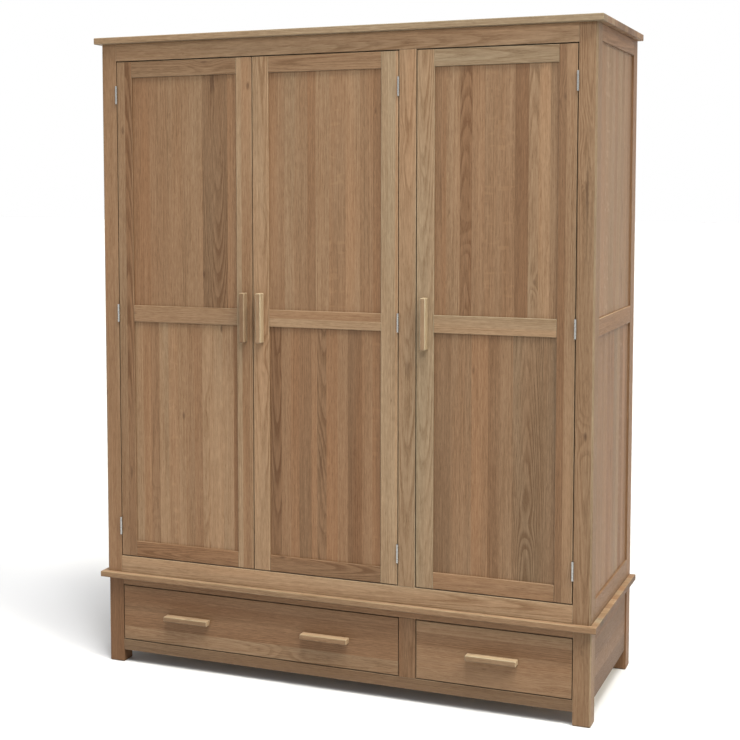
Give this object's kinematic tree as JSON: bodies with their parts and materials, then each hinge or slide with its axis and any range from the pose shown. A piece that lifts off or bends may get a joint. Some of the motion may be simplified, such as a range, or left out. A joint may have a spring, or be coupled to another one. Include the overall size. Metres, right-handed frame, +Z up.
{
  "type": "wardrobe with doors",
  "caption": "Free-standing oak wardrobe with framed panel doors over inset drawers, bar handles, square legs and hanging rails inside.",
  "frame": {"origin": "on the floor, under the centre of the overall box (the handles' faces to the back, side to side)", "axes": "+Z up, the doors face -Y, +X is to the right of someone facing the doors"},
  "size_m": [1.6, 0.626, 2],
  "materials": {
    "oak_frame": "natural oak, hand-waxed, straight and cathedral grain",
    "oak_door": "natural oak, hand-waxed, paler staves",
    "oak_panel": "edge-glued oak staves, hand-waxed",
    "oak_drawer": "edge-glued oak staves, hand-waxed, grain along the drawer",
    "oak_handle": "pale oak bar, satin wax",
    "oak_back": "tongue-and-groove oak lining, unpolished",
    "pine": "plain sanded pine",
    "steel_hinge": "satin nickel",
    "steel_rail": "polished tube",
    "catch_plastic": "moulded brown plastic"
  },
  "bodies": {
    "carcass": {"cornice_board": "oak_frame", "left_front_post": "oak_frame", "right_front_post": "oak_frame", "left_rear_post": "oak_frame", "right_rear_post": "oak_frame", "left_side_rails": "oak_frame", "right_side_rails": "oak_frame", "left_side_panels": "oak_panel", "right_side_panels": "oak_panel", "front_top_rail": "oak_frame", "front_bottom_rail": "oak_frame", "centre_stile": "oak_frame", "partition": "oak_frame", "wardrobe_floor": "oak_frame", "back_frame": "oak_frame", "back_panels": "oak_back", "hanging_rail_battens": "oak_frame", "hanging_rail_sockets": "steel_rail", "left_hanging_rail": "steel_rail", "right_hanging_rail": "steel_rail", "hinge_frame_leaves": "steel_hinge", "door_catches": "catch_plastic", "plinth_board": "oak_frame", "left_front_leg": "oak_frame", "right_front_leg": "oak_frame", "left_rear_leg": "oak_frame", "right_rear_leg": "oak_frame", "base_top_rail": "oak_frame", "base_bottom_rail": "oak_frame", "drawer_divider": "oak_frame", "left_side_board": "oak_frame", "right_side_board": "oak_frame", "base_back_board": "oak_frame", "drawer_runners": "pine"},
    "left_door": {"left_door_hinge_stile": "oak_door", "left_door_handle_stile": "oak_door", "left_door_rails": "oak_door", "left_door_panels": "oak_panel", "left_door_handle": "oak_handle", "left_door_hinge_leaves": "steel_hinge"},
    "middle_door": {"middle_door_hinge_stile": "oak_door", "middle_door_handle_stile": "oak_door", "middle_door_rails": "oak_door", "middle_door_panels": "oak_panel", "middle_door_handle": "oak_handle", "middle_door_hinge_leaves": "steel_hinge"},
    "right_door": {"right_door_hinge_stile": "oak_door", "right_door_handle_stile": "oak_door", "right_door_rails": "oak_door", "right_door_panels": "oak_panel", "right_door_handle": "oak_handle", "right_door_hinge_leaves": "steel_hinge"},
    "left_drawer": {"left_drawer_front": "oak_drawer", "left_drawer_box": "pine", "left_drawer_bottom": "pine", "left_drawer_handles": "oak_handle"},
    "right_drawer": {"right_drawer_front": "oak_drawer", "right_drawer_box": "pine", "right_drawer_bottom": "pine", "right_drawer_handles": "oak_handle"}
  },
  "joints": [
    {"name": "left_door_hinge", "type": "hinge", "parent": "carcass", "child": "left_door", "pos_m": [-0.7285, -0.2908, 1.135], "axis": [0, 0, -1], "range_deg": [0, 165]},
    {"name": "middle_door_hinge", "type": "hinge", "parent": "carcass", "child": "middle_door", "pos_m": [0.20717, -0.2908, 1.135], "axis": [0, 0, 1], "range_deg": [0, 105]},
    {"name": "right_door_hinge", "type": "hinge", "parent": "carcass", "child": "right_door", "pos_m": [0.7285, -0.2908, 1.135], "axis": [0, 0, 1], "range_deg": [0, 165]},
    {"name": "left_drawer_slide", "type": "slide", "parent": "carcass", "child": "left_drawer", "axis": [0, -1, 0], "range_m": [0, 0.36]},
    {"name": "right_drawer_slide", "type": "slide", "parent": "carcass", "child": "right_drawer", "axis": [0, -1, 0], "range_m": [0, 0.36]}
  ]
}
